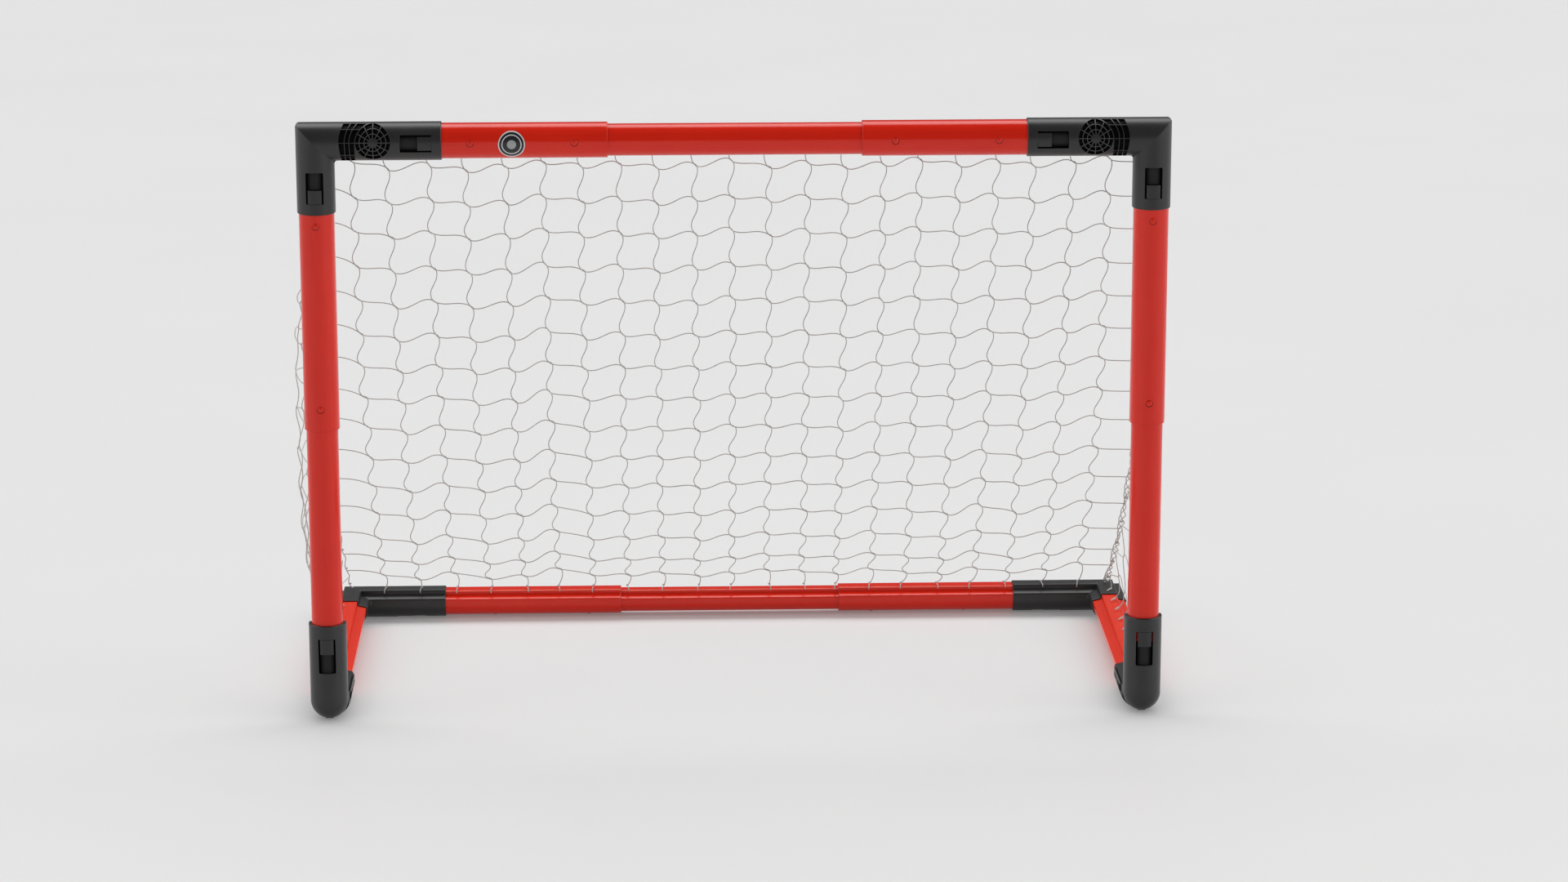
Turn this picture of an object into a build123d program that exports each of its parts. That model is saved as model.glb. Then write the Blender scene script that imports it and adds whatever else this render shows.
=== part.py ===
"""Adjustable youth street-hockey goal: plastic D-section tubes, snap-together corner
connectors, telescoping bars with spring lock buttons, and a net.

Frame: millimetres, +Z up, floor at z = 0, goal mouth facing -Y, X along the top bar.
The left half (-X) is modelled and mirrored for the right half.
"""

from build123d import *

import math
import os
from functools import cache
from itertools import pairwise
from typing import NamedTuple

os.makedirs("parts", exist_ok=True)

# ---------------------------------------------------------------- overall size
OVERALL_WIDTH = 914.0       # outside of the two posts
OVERALL_DEPTH = 429.0       # front of the posts to the back of the rear corners
OVERALL_HEIGHT = 646.0      # floor to the top of the top bar
SECTION_R = 20.0            # radius of the round side of the connector section
GROUND_Z = 20.05            # height of the ground bars' axis (flat pads reach z = 0)

POST_X = OVERALL_WIDTH / 2 - SECTION_R
FRONT_Y = -(OVERALL_DEPTH / 2 - SECTION_R)
REAR_Y = -FRONT_Y
TOP_Z = OVERALL_HEIGHT - SECTION_R

# ---------------------------------------------------------------- D section
SHOULDER_IN = 7.5           # shoulder beside the net rail, from the axis
SHOULDER_OUT = 5.0          # shoulder at the straight side; it slopes down outwards
RAIL_HALF = 10.0            # half width of the net rail on the flat side
RAIL_TOP = 13.0             # top of the net rail from the axis
FILLET_SHOULDER = 1.6
FILLET_RAIL = 1.5
FILLET_ROOT = 1.0

# insets from the connector section
SLEEVE_OUT = 1.5            # outer tube's outside
SLEEVE_IN = 3.0             # outer tube's bore (1.5 mm wall)
INNER_OUT = 3.25            # inner tube's outside (0.25 mm sliding clearance)
INNER_IN = 4.75             # inner tube's bore (1.5 mm wall)
SOCKET_SLEEVE = 1.4         # connector socket for an outer tube
SOCKET_INNER = 3.15         # connector socket for an inner tube
CORE_SLEEVE = 4.0           # hollow core behind an outer tube's socket
CORE_INNER = INNER_IN + 0.3     # hollow core behind an inner tube's socket

# ---------------------------------------------------------------- stations along the bars
WIDTH_TRAVEL = 108.0        # each half of the goal slides in by this much
HEIGHT_TRAVEL = 196.0       # the top slides down by this much

TOP_MOUTH = 305.0           # |x| of the elbows' mouths on the top bar
TOP_SLEEVE_END = 132.5      # |x| of the free ends of the top outer tubes
TOP_MID_HALF = 196.0        # half length of the top inner tube
TOP_BUTTON = 167.0          # |x| of the top lock buttons
TOP_PLUG = TOP_BUTTON + WIDTH_TRAVEL        # |x| of the plugged second lock holes
REAR_MOUTH = 329.0
REAR_SLEEVE_END = 126.0
REAR_MID_HALF = 190.0
REAR_BUTTON = 164.0
REAR_PLUG = REAR_BUTTON + WIDTH_TRAVEL
ELBOW_MOUTH_Z = 551.0       # elbows' mouths on the posts
FOOT_MOUTH_Z = 106.0        # feet's mouths on the posts
POST_SLEEVE_END_Z = 319.0   # lower, free end of the posts' outer tubes
POST_INNER_TOP_Z = 365.0    # upper end of the posts' inner tubes
POST_BUTTON_Z = 343.0
POST_PLUG_Z = POST_BUTTON_Z + HEIGHT_TRAVEL
SIDE_FRONT_MOUTH = FRONT_Y + 85.0    # feet's mouths on the side rails
SIDE_REAR_MOUTH = FRONT_Y + 338.0    # rear corners' mouths on the side rails
INSERT = 24.0               # how far a level tube goes into a connector
INSERT_POST = 26.0          # how far a post tube goes into a connector
SOCKET_PLAY = 0.5           # how much deeper the socket is
PAST_CORNER = 30.0          # overrun of a connector's arm before its mitre cut
TUBE_CHAMFER = 0.35
MOUTH_FILLET = 0.8

# ---------------------------------------------------------------- snap tabs
TAB_WIDTH = 14.2
TAB_GAP = 0.25              # gap at the tab's root
TAB_WALL = 1.3
WINDOW_WIDTH = 18.2
WINDOW_RANGE = (-26.0, -12.0)   # cut through the round wall, from the axis
WINDOW_FILLET = 1.2
WALL_RANGE = (-25.0, -9.0)      # encloses the round wall of any tube
HINGE_R = 0.45              # hinge barrel
HINGE_LENGTH = 6.0
HINGE_BACK = 0.35           # barrel centre behind the window's edge
HINGE_LEVEL = -19.3         # barrel centre from the section axis
HINGE_WEB_HALF = 0.25       # half thickness of the web between barrel and tab
GROOVE_R = 0.50
GROOVE_LENGTH = HINGE_LENGTH + 0.2
CATCH_HALF = 4.0            # half width of the catch
CATCH_BASE = -18.9          # catch's outer face, within the tab
CATCH_HOLE_HALF = 4.6
CATCH_PLAY = 0.7            # at each end of the catch in its hole

# catches: start and end from the tab's root, and the tip's distance from the axis
CATCH_SLEEVE = (7.7, 12.0, 17.3)
CATCH_FOOT = (3.8, 7.2, 16.25)
CATCH_ELBOW = (6.3, 10.4, 17.3)

# floor behind a tab's window
FLOOR_OUT = 3.2             # inset of its outside
FLOOR_IN = 5.2              # inset of its inside
FLOOR_HALF = 11.0
FLOOR_START = 0.8           # gap to the tube's end
FLOOR_OVERLAP = 1.5         # beyond the window's far end

# ---------------------------------------------------------------- lock buttons and plugs
BUTTON_R = 3.2
BUTTON_TIP = 19.7           # from the section axis
BUTTON_DOME = 1.1           # height of the domed tip
BUTTON_BACK = 13.6          # stem's inner end from the axis
FLANGE_R = 4.4
FLANGE_RANGE = (-14.45, -13.5)
BUTTON_HOLE_SLEEVE = BUTTON_R + 0.25
BUTTON_HOLE_INNER = BUTTON_R + 0.06
SPRING_THICKNESS = 0.5
SPRING_HALF_WIDTH = 2.6
PLUG_R = 3.0
PLUG_HOLE = PLUG_R + 0.05
PLUG_RANGE = (-18.75, -17.15)
PLUG_HEAD_R = 3.4
PLUG_DOME = 0.9
PLUG_TIP = 19.4
PLUG_HEAD_BACK = 18.52      # head's inner face from the axis

# ---------------------------------------------------------------- connectors
CORNER_R = 5.0              # rounded outer corner
WEB_R = 3.5                 # fillet in the inner corner
WEB_LOW = -2.0
WEB_HIGH = SHOULDER_OUT - FILLET_SHOULDER
PAD_HALF = 4.0              # half width of the flat pads under the corners
PAD_TOP = -18.9             # from the axis

# ---------------------------------------------------------------- grille ornament
RINGS = [(5.1, 8.6), (9.3, 13.5), (14.2, 18.1)]         # inner and outer radii
RING_CELLS = 12             # pockets around each ring
BANDS = [(18.9, 24.1), (24.9, 28.9), (29.7, 35.5)]      # inner and outer radii
# distance of each band's two edges from the middle, 20 mm down
LOW_ENDS = [(19.0, 23.3), (24.1, 28.5), (29.3, 33.0)]
LOW_END_DROP = 20.0
RIB = 0.75                  # width of the ribs between pockets
ROW_HEIGHT = 13.2           # the bands' cross ribs, above and below the middle
BAND_CENTRE = -30.0         # middle of the rectangles that cut the bands
BAND_SPAN = 59.2            # width of those rectangles
POCKET = 1.7                # depth of the pockets
BOSS = 2.4                  # how far the feet's grille stands out of the section
BOSS_R = SECTION_R + BOSS
BOSS_LOW = 0.9
BOSS_HIGH = GROUND_Z + SHOULDER_OUT - 0.2
ELBOW_GRILLE_X = -375.7
ELBOW_GRILLE_Z = TOP_Z + 1.4
FOOT_GRILLE_Y = FRONT_Y + 50.0
FOOT_GRILLE_Z = 14.0
FOOT_SKIN_LOW = 1.8         # lower limit of the foot's pockets

# ---------------------------------------------------------------- label
LABEL_X = -232.0
LABEL_R = 14.0
LABEL_DROP = 1.5            # centre below the bar's axis
LABEL_FACE = SECTION_R - SLEEVE_OUT + 0.25      # radii of its curved faces
LABEL_BACK = SECTION_R - SLEEVE_OUT + 0.03

# ---------------------------------------------------------------- net sheets
NET_T = 0.6
NET_SPLIT_X = 145.0         # |x| where the left and right sheets meet the middle one
NET_GAP = 2.0               # set back of a sheet's edge
NET_MID_LIFT = 2.5          # middle sheet above the outer ones
NET_SIDE_TOP = 606.0
NET_SIDE_BACK = 360.0       # rear tip behind the posts' axis
NET_SIDE_LOW = GROUND_Z + RAIL_TOP + 3.0
NET_SIDE_INSET = 3.2        # side sheet's edge forward of and below the fall line
# the net's fall from the top bar to the rear bar: (distance behind the posts' axis, height)
NET_FALL = [
    (15.9, 622.0), (28.0, 593.0), (43.0, 552.0), (59.5, 511.0), (75.5, 470.0),
    (92.0, 430.0), (109.0, 389.0), (128.0, 350.0), (150.0, 311.0), (171.5, 273.0),
    (194.5, 236.0), (220.0, 200.0), (247.0, 165.0), (274.5, 130.0), (304.0, 98.5),
    (336.0, 69.0), (366.0, 46.0), (387.5, 35.6),
]

# Bar frames: z_dir runs along the bar and y_dir points to the net rail. In a bar's own
# coordinates x is "across", y is the "level" (negative on the round side), z the "station".
TOP_BAR = Plane(origin=(0, FRONT_Y, TOP_Z), x_dir=(0, 0, -1), z_dir=(1, 0, 0))
REAR_BAR = Plane(origin=(0, REAR_Y, GROUND_Z), x_dir=(0, 1, 0), z_dir=(1, 0, 0))
POST = Plane(origin=(-POST_X, FRONT_Y, 0), x_dir=(1, 0, 0), z_dir=(0, 0, 1))
SIDE_RAIL = Plane(origin=(-POST_X, 0, GROUND_Z), x_dir=(-1, 0, 0), z_dir=(0, 1, 0))


class Arm(NamedTuple):
    """One arm of a connector, with its socket and its snap tab."""

    bar: Plane
    mouth: float            # station of the open end
    corner: float           # station of the connector's corner
    socket: float           # inset of the socket
    insert: float           # how far the tube goes in
    tab_setback: float      # from the mouth to the tab's root
    tab_length: float
    window_length: float
    catch: tuple

    @property
    def toward(self):
        """Direction along the bar from the mouth to the corner."""
        return 1 if self.corner > self.mouth else -1

    @property
    def back(self):
        return self.corner + self.toward * PAST_CORNER

    @property
    def tube_end(self):
        return self.mouth + self.toward * self.insert

    def from_root(self, distance):
        """Station at a distance from the tab's root."""
        return self.mouth + self.toward * (self.tab_setback + distance)


ARMS = {
    "elbow_top": Arm(TOP_BAR, -TOP_MOUTH, -POST_X, SOCKET_SLEEVE, INSERT,
                     10.0, 14.6, 32.8, CATCH_ELBOW),
    "elbow_post": Arm(POST, ELBOW_MOUTH_Z, TOP_Z, SOCKET_SLEEVE, INSERT_POST,
                      11.8, 14.7, 33.1, CATCH_SLEEVE),
    "foot_post": Arm(POST, FOOT_MOUTH_Z, GROUND_Z, SOCKET_INNER, INSERT_POST,
                     14.5, 16.5, 37.6, CATCH_FOOT),
    "foot_side": Arm(SIDE_RAIL, SIDE_FRONT_MOUTH, FRONT_Y, SOCKET_SLEEVE, INSERT,
                     8.7, 14.8, 28.0, CATCH_SLEEVE),
    "rear_side": Arm(SIDE_RAIL, SIDE_REAR_MOUTH, REAR_Y, SOCKET_SLEEVE, INSERT,
                     8.7, 14.8, 24.0, CATCH_SLEEVE),
    "rear_bar": Arm(REAR_BAR, -REAR_MOUTH, -POST_X, SOCKET_SLEEVE, INSERT,
                    8.7, 14.8, 28.0, CATCH_SLEEVE),
}


# ================================================================ section and bars
def lines(*points):
    return [Line(start, end) for start, end in pairwise(points)]


@cache
def d_section(inset):
    """D section inset by a wall distance: x across, y towards the net rail."""
    side, rail, top = SECTION_R - inset, RAIL_HALF - inset, RAIL_TOP - inset
    slope = math.atan2(SHOULDER_IN - SHOULDER_OUT, SECTION_R - RAIL_HALF)
    drop = inset * (1 - math.sin(slope)) / math.cos(slope)
    root, shoulder = SHOULDER_IN - drop, SHOULDER_OUT - drop
    outline = [ThreePointArc((-side, 0), (0, -side), (side, 0))] + lines(
        (side, 0), (side, shoulder), (rail, root), (rail, top),
        (-rail, top), (-rail, root), (-side, shoulder), (-side, 0))
    face = make_face(Curve() + outline)

    def vertices_at(x, y):
        return [v for v in face.vertices()
                if abs(abs(v.X) - x) < 1e-6 and abs(v.Y - y) < 1e-6]

    face = fillet(vertices_at(side, shoulder), max(0.5, FILLET_SHOULDER - inset))
    face = fillet(vertices_at(rail, top), max(0.5, FILLET_RAIL - inset))
    return fillet(vertices_at(rail, root), max(0.3, min(FILLET_ROOT + inset, 2.5)))


def prism(inset, bar, start, end):
    start, end = sorted((start, end))
    return extrude(bar.offset(start) * d_section(inset), end - start)


def shell(bar, outer, inner, start, end):
    """Open-ended wall between two insets."""
    start, end = sorted((start, end))
    return prism(outer, bar, start, end) - prism(inner, bar, start - 1, end + 1)


def block(bar, across, level, along):
    """Box in a bar's own coordinates, each given as a range."""
    start, end = sorted(along)
    solid = Box(across[1] - across[0], level[1] - level[0], end - start,
                align=(Align.MIN, Align.MIN, Align.MIN))
    return bar * Pos(across[0], level[0], start) * solid


def rod(bar, radius, station, level, across=0):
    """Cylinder through a bar, along its level direction."""
    solid = Cylinder(radius, level[1] - level[0],
                     align=(Align.CENTER, Align.CENTER, Align.MIN))
    return bar * Pos(across, level[0], station) * Rot(-90, 0, 0) * solid


def cross_rod(bar, radius, level, station, length):
    """Cylinder across a bar."""
    return bar * Pos(0, level, station) * Rot(0, 90, 0) * Cylinder(radius, length)


def edges_at(body, bar, *stations):
    """Edges that lie in one of a bar's cross planes."""
    def lies_in_plane(edge):
        found = [bar.to_local_coords(edge @ t).Z for t in (0.0, 0.37, 0.81, 1.0)]
        return any(all(abs(z - s) < 1e-5 for z in found) for s in stations)

    return body.edges().filter_by(lies_in_plane)


def tube(bar, outer, inner, start, end):
    """Tube with softened outer end edges."""
    start, end = sorted((start, end))
    body = prism(outer, bar, start, end)
    body = chamfer(edges_at(body, bar, start, end), TUBE_CHAMFER)
    return body - prism(inner, bar, start - 1, end + 1)


# ================================================================ snap tabs
def window(arm):
    """Opening in a connector's wall around a snap tab, with the tab's hinge groove."""
    bar, root, far_end = arm.bar, arm.from_root(0), arm.from_root(arm.window_length)
    cut = block(bar, (-WINDOW_WIDTH / 2, WINDOW_WIDTH / 2), WINDOW_RANGE, (root, far_end))
    depth = WINDOW_RANGE[1] - WINDOW_RANGE[0]
    far_edges = [e for e in cut.edges().filter_by(lambda e: abs(e.length - depth) < 1e-6)
                 if abs(bar.to_local_coords(e @ 0.5).Z - far_end) < 1e-6]
    cut = fillet(far_edges, WINDOW_FILLET)
    centre = arm.from_root(-HINGE_BACK)
    half = math.sqrt(GROOVE_R**2 - HINGE_BACK**2)
    cut = cut + cross_rod(bar, GROOVE_R, HINGE_LEVEL, centre, GROOVE_LENGTH)
    return cut + block(bar, (-GROOVE_LENGTH / 2, GROOVE_LENGTH / 2),
                       (HINGE_LEVEL - half, HINGE_LEVEL + half),
                       (centre, arm.from_root(0.1)))


def cut_window(body, arm):
    """Window around a tab, closed behind the tab's free end by a shallow floor."""
    along = (arm.tube_end + arm.toward * FLOOR_START,
             arm.from_root(arm.window_length + FLOOR_OVERLAP))
    plate = shell(arm.bar, FLOOR_OUT, FLOOR_IN, *along)
    plate = plate & block(arm.bar, (-FLOOR_HALF, FLOOR_HALF), WALL_RANGE, along)
    return (body - window(arm)) + plate


def cut_catch_hole(body, arm):
    """Hole in a tube's wall that takes a snap tab's catch."""
    start, end, _ = arm.catch
    return body - block(arm.bar, (-CATCH_HOLE_HALF, CATCH_HOLE_HALF), WALL_RANGE,
                        (arm.from_root(start - CATCH_PLAY), arm.from_root(end + CATCH_PLAY)))


def snap_tab(arm):
    """Tongue of the connector's own section with a hinge barrel and a catch."""
    bar = arm.bar
    along = (arm.from_root(TAB_GAP), arm.from_root(arm.tab_length))
    tongue = shell(bar, 0.0, TAB_WALL, *along) & block(
        bar, (-TAB_WIDTH / 2, TAB_WIDTH / 2), (-25, -14), along)
    centre = arm.from_root(-HINGE_BACK)
    tongue = tongue + cross_rod(bar, HINGE_R, HINGE_LEVEL, centre, HINGE_LENGTH)
    tongue = tongue + block(bar, (-HINGE_LENGTH / 2, HINGE_LENGTH / 2),
                            (HINGE_LEVEL - HINGE_WEB_HALF, HINGE_LEVEL + HINGE_WEB_HALF),
                            (centre, arm.from_root(0.8)))
    start, end, tip = arm.catch
    return tongue + block(bar, (-CATCH_HALF, CATCH_HALF), (CATCH_BASE, -tip),
                          (arm.from_root(start), arm.from_root(end)))


# ================================================================ grille ornament
def ring_cell(inner, outer, start, end):
    """One pocket: a ring segment between two radial ribs."""
    def point(radius, angle):
        return (radius * math.cos(angle), radius * math.sin(angle))

    def arc_points(radius):
        rib_angle = math.asin(RIB / 2 / radius)
        low, high = start + rib_angle, end - rib_angle
        return [point(radius, angle) for angle in (low, (low + high) / 2, high)]

    inner_arc, outer_arc = arc_points(inner), arc_points(outer)
    return make_face(Curve() + [
        ThreePointArc(*inner_arc),
        Line(inner_arc[2], outer_arc[2]),
        ThreePointArc(*reversed(outer_arc)),
        Line(outer_arc[0], inner_arc[0]),
    ])


def low_cell(band, ends, top, bottom):
    """One pocket of a band below the middle, where its edges run straight."""
    def edge_point(radius, low_end, y):
        return (-radius + (radius - low_end) * -y / LOW_END_DROP, y)

    return make_face(Polyline(
        edge_point(band[0], ends[0], top), edge_point(band[1], ends[1], top),
        edge_point(band[1], ends[1], bottom), edge_point(band[0], ends[0], bottom),
        close=True))


def grille(limit_up, limit_down):
    """Cells in a plane: x along the bar, y across it, bands on the -x side."""
    cells = []
    for inner, outer in RINGS:
        for k in range(RING_CELLS):
            start, end = (math.radians(360 / RING_CELLS * n) for n in (k, k + 1))
            cells.append(ring_cell(inner, outer, start, end))
    high_row = Pos(BAND_CENTRE, (ROW_HEIGHT + RIB / 2 + limit_up) / 2) * Rectangle(
        BAND_SPAN, limit_up - ROW_HEIGHT - RIB / 2)
    middle_row = Pos(BAND_CENTRE, ROW_HEIGHT / 2) * Rectangle(BAND_SPAN, ROW_HEIGHT - RIB)
    for inner, outer in BANDS:
        ring = Circle(outer) - Circle(inner)
        for row in (high_row, middle_row):
            cells += [f for f in (ring & row).faces() if f.area > 1.0]
    for band, ends in zip(BANDS, LOW_ENDS):
        cells.append(low_cell(band, ends, -RIB / 2, -ROW_HEIGHT + RIB / 2))
        cells.append(low_cell(band, ends, -ROW_HEIGHT - RIB / 2, -limit_down))
    return cells


def pockets(face_plane, cells, skin):
    """Cells pushed through a bar's outer skin, without slivers."""
    out = []
    for outline in cells:
        pocket = extrude(face_plane * outline, 30) & skin
        out += [s for s in pocket.solids() if s.volume > 0.3]
    return out


# ================================================================ connectors
def mitre(corner, normal, first, second):
    """Two bars cut on their mitre plane and joined."""
    plane = Plane(origin=corner, z_dir=normal)
    first = split(first, bisect_by=plane, keep=Keep.TOP)
    second = split(second, bisect_by=plane, keep=Keep.BOTTOM)
    return first + second


def solid_arm(arm):
    """Solid arm of a connector from its mouth to past the corner."""
    body = prism(0.0, arm.bar, arm.mouth, arm.back)
    return fillet(edges_at(body, arm.bar, arm.mouth), MOUTH_FILLET)


def hollow(corner, normal, arms):
    """Sockets of two arms and the core that joins them."""
    cores = []
    for arm in arms:
        inset = CORE_SLEEVE if arm.socket == SOCKET_SLEEVE else CORE_INNER
        cores.append(prism(inset, arm.bar, arm.mouth - arm.toward, arm.back))
    core = mitre(corner, normal, *cores)
    for arm in arms:
        core = core + prism(arm.socket, arm.bar, arm.mouth - arm.toward,
                            arm.tube_end + arm.toward * SOCKET_PLAY)
    return core


def corner_trim(plane):
    """What the rounded outer corner removes: x and y point outwards from the centre."""
    centre = Pos(SECTION_R - CORNER_R, SECTION_R - CORNER_R)
    square = centre * Rectangle(CORNER_R + 10, CORNER_R + 10, align=(Align.MIN, Align.MIN))
    return extrude(plane.offset(-60) * (square - centre * Circle(CORNER_R)), 120)


def corner_web(plane):
    """Fillet in the inner corner: x and y point into the corner from its centre."""
    square = Pos(SECTION_R - 1.0, SECTION_R - 1.0) * Rectangle(
        WEB_R + 1.0, WEB_R + 1.0, align=(Align.MIN, Align.MIN))
    disc = Pos(SECTION_R + WEB_R, SECTION_R + WEB_R) * Circle(WEB_R)
    return extrude(plane.offset(WEB_LOW) * (square - disc), WEB_HIGH - WEB_LOW)


def rounded_corner(corner, normal, outward, rail_dir, arms):
    """Hollow two-armed connector with a rounded outer and a filleted inner corner."""
    body = mitre(corner, normal, *[solid_arm(arm) for arm in arms])
    body = body - corner_trim(Plane(origin=corner, x_dir=outward, z_dir=rail_dir))
    body = body + corner_web(Plane(origin=corner, x_dir=-Vector(outward), z_dir=rail_dir))
    return body - hollow(corner, normal, arms)


def ball_trim(corner, radius):
    """What a ball-shaped corner removes in front of and below the corner's centre."""
    quarter = Pos(*corner) * Box(90, 60, 60, align=(Align.CENTER, Align.MAX, Align.MAX))
    return quarter - Pos(*corner) * Sphere(radius)


def pad(bar, start, end):
    """Flat pad along the lowest line of a ground arm."""
    return block(bar, (-PAD_HALF, PAD_HALF), (-GROUND_Z, PAD_TOP), (start, end))


MITRE = math.sqrt(0.5)      # component of a 45 degree unit normal


def elbow():
    """Top bar arm (+X) and post arm (-Z), with a grille on the front."""
    top, post = ARMS["elbow_top"], ARMS["elbow_post"]
    body = rounded_corner((-POST_X, FRONT_Y, TOP_Z), (MITRE, 0, MITRE),
                          (-1, 0, 0), (0, 1, 0), (top, post))
    body = cut_window(cut_window(body, top), post)
    skin = shell(TOP_BAR, 0.0, POCKET, ELBOW_GRILLE_X - 45, ELBOW_GRILLE_X + 30)
    skin = skin & block(TOP_BAR, (-30, 30), (-30, -1.0),
                        (ELBOW_GRILLE_X - 60, ELBOW_GRILLE_X + 60))
    face_plane = Plane(origin=(ELBOW_GRILLE_X, FRONT_Y, ELBOW_GRILLE_Z),
                       x_dir=(1, 0, 0), z_dir=(0, -1, 0))
    return body - pockets(face_plane, grille(17.9, 20.7), skin)


def foot_boss():
    """Raised field on the foot's inner side."""
    # plan: x from the side rail's axis, y behind the post's axis
    plan = make_face(
        Curve()
        + lines((8, 10), (19.6, 10), (BOSS_R, 17), (BOSS_R, 66))
        + [ThreePointArc((BOSS_R, 66), (BOSS_R - 1.1, 76.5), (18.0, 84.0))]
        + lines((18.0, 84.0), (8, 84.0), (8, 10)))
    plan_plane = Plane(origin=(-POST_X, FRONT_Y, BOSS_LOW))
    return prism(-BOSS, SIDE_RAIL, FRONT_Y + 5, FRONT_Y + 90) & extrude(
        plan_plane * plan, BOSS_HIGH - BOSS_LOW)


def foot():
    """Post arm (+Z) and side rail arm (+Y), joined in a ball, with a raised grille."""
    corner, normal = (-POST_X, FRONT_Y, GROUND_Z), (0, -MITRE, MITRE)
    arms = post, side = ARMS["foot_post"], ARMS["foot_side"]
    body = mitre(corner, normal, solid_arm(post), solid_arm(side))
    body = body - ball_trim(corner, SECTION_R)
    body = body + foot_boss()
    core = hollow(corner, normal, arms)
    body = body - (core - ball_trim(corner, SECTION_R - CORE_SLEEVE - 0.5))
    body = cut_window(cut_window(body, post), side)
    body = body + pad(SIDE_RAIL, FRONT_Y - 4.0, FRONT_Y + 24.5)
    skin = shell(SIDE_RAIL, -BOSS, POCKET - BOSS, FOOT_GRILLE_Y - 37, FOOT_GRILLE_Y + 20)
    skin = skin & Pos(-POST_X + 8.0, FOOT_GRILLE_Y, FOOT_SKIN_LOW) * Box(
        60, 160, BOSS_HIGH - 1.0 - FOOT_SKIN_LOW,
        align=(Align.MIN, Align.CENTER, Align.MIN))
    face_plane = Plane(origin=(-POST_X, FOOT_GRILLE_Y, FOOT_GRILLE_Z),
                       x_dir=(0, 1, 0), z_dir=(1, 0, 0))
    return body - pockets(face_plane, grille(18.0, 18.0), skin)


def rear_corner():
    """Rear bar arm (+X) and side rail arm (-Y)."""
    rear, side = ARMS["rear_bar"], ARMS["rear_side"]
    body = rounded_corner((-POST_X, REAR_Y, GROUND_Z), (MITRE, MITRE, 0),
                          (0, 1, 0), (0, 0, 1), (rear, side))
    body = cut_window(cut_window(body, side), rear)
    return body + pad(REAR_BAR, -POST_X + 7.0, -POST_X + 52.0)


# ================================================================ tubes
def lock_hole(bar, radius, station):
    return rod(bar, radius, station, (-26, -8))


def outer_tube(arm, free_end, button, plugged):
    """Outer tube from a connector to its free end, with its two lock holes."""
    body = tube(arm.bar, SLEEVE_OUT, SLEEVE_IN, arm.tube_end, free_end)
    body = cut_catch_hole(body, arm)
    return body - lock_hole(arm.bar, BUTTON_HOLE_SLEEVE, button) \
        - lock_hole(arm.bar, PLUG_HOLE, plugged)


def mid_tube(bar, half_length, button):
    """Inner tube in the middle of a bar, with a lock hole on each side."""
    body = tube(bar, INNER_OUT, INNER_IN, -half_length, half_length)
    for side in (-1, 1):
        body = body - lock_hole(bar, BUTTON_HOLE_INNER, side * button)
    return body


def post_tube():
    arm = ARMS["foot_post"]
    body = tube(POST, INNER_OUT, INNER_IN, arm.tube_end, POST_INNER_TOP_Z)
    body = cut_catch_hole(body, arm)
    return body - lock_hole(POST, BUTTON_HOLE_INNER, POST_BUTTON_Z)


def side_rail():
    front, rear = ARMS["foot_side"], ARMS["rear_side"]
    body = tube(SIDE_RAIL, SLEEVE_OUT, SLEEVE_IN, front.tube_end, rear.tube_end)
    return cut_catch_hole(cut_catch_hole(body, front), rear)


# ================================================================ lock buttons, springs, plugs
def dome(bar, station, radius, height, tip, back):
    """Spherical cap on the round side; tip and back are distances from the axis."""
    ball_r = (radius**2 + height**2) / (2 * height)
    ball = bar * Pos(0, -(tip - ball_r), station) * Sphere(ball_r)
    return ball & rod(bar, radius, station, (-tip - 1, -back))


def lock_button(bar, station):
    """Round button with a domed tip and a flange behind the inner tube's wall."""
    stem_end = BUTTON_TIP - BUTTON_DOME
    body = rod(bar, BUTTON_R, station, (-stem_end, -BUTTON_BACK))
    body = body + rod(bar, FLANGE_R, station, FLANGE_RANGE)
    return body + dome(bar, station, BUTTON_R, BUTTON_DOME, BUTTON_TIP, stem_end - 0.02)


def lock_spring(bar, station, toward):
    """V-shaped leaf spring between the button's flange and the inner tube's rail wall."""
    # (distance from the button, level) along the middle of the strip
    path = [(-4.0, -13.15), (5.0, -13.15), (46.0, 2.0), (49.0, 5.0), (46.0, 7.65), (-2.0, 7.65)]
    plane = Plane(origin=bar.origin, x_dir=bar.z_dir, z_dir=-bar.x_dir)
    line = Polyline(*[(station + toward * distance, level) for distance, level in path])
    strip = make_face(offset(line, amount=SPRING_THICKNESS / 2, kind=Kind.ARC,
                             side=Side.BOTH).edges())
    return extrude(plane * strip, SPRING_HALF_WIDTH, both=True)


def hole_plug(bar, station):
    """Domed plug closing a lock hole that is not in use."""
    body = rod(bar, PLUG_R, station, PLUG_RANGE)
    return body + dome(bar, station, PLUG_HEAD_R, PLUG_DOME, PLUG_TIP, PLUG_HEAD_BACK)


def round_label():
    """Thin curved disc on the front of the left top tube."""
    sheet = (extrude(TOP_BAR.offset(LABEL_X - 20) * Circle(LABEL_FACE), 40)
             - extrude(TOP_BAR.offset(LABEL_X - 21) * Circle(LABEL_BACK), 42))
    return sheet & rod(TOP_BAR, LABEL_R, LABEL_X, (-25, -2), across=LABEL_DROP)


# ================================================================ net
def net_plane(x):
    """Upright plane: its x runs behind the posts' axis, its y is the height."""
    return Plane(origin=(x, FRONT_Y, 0), x_dir=(0, 1, 0), z_dir=(1, 0, 0))


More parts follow.
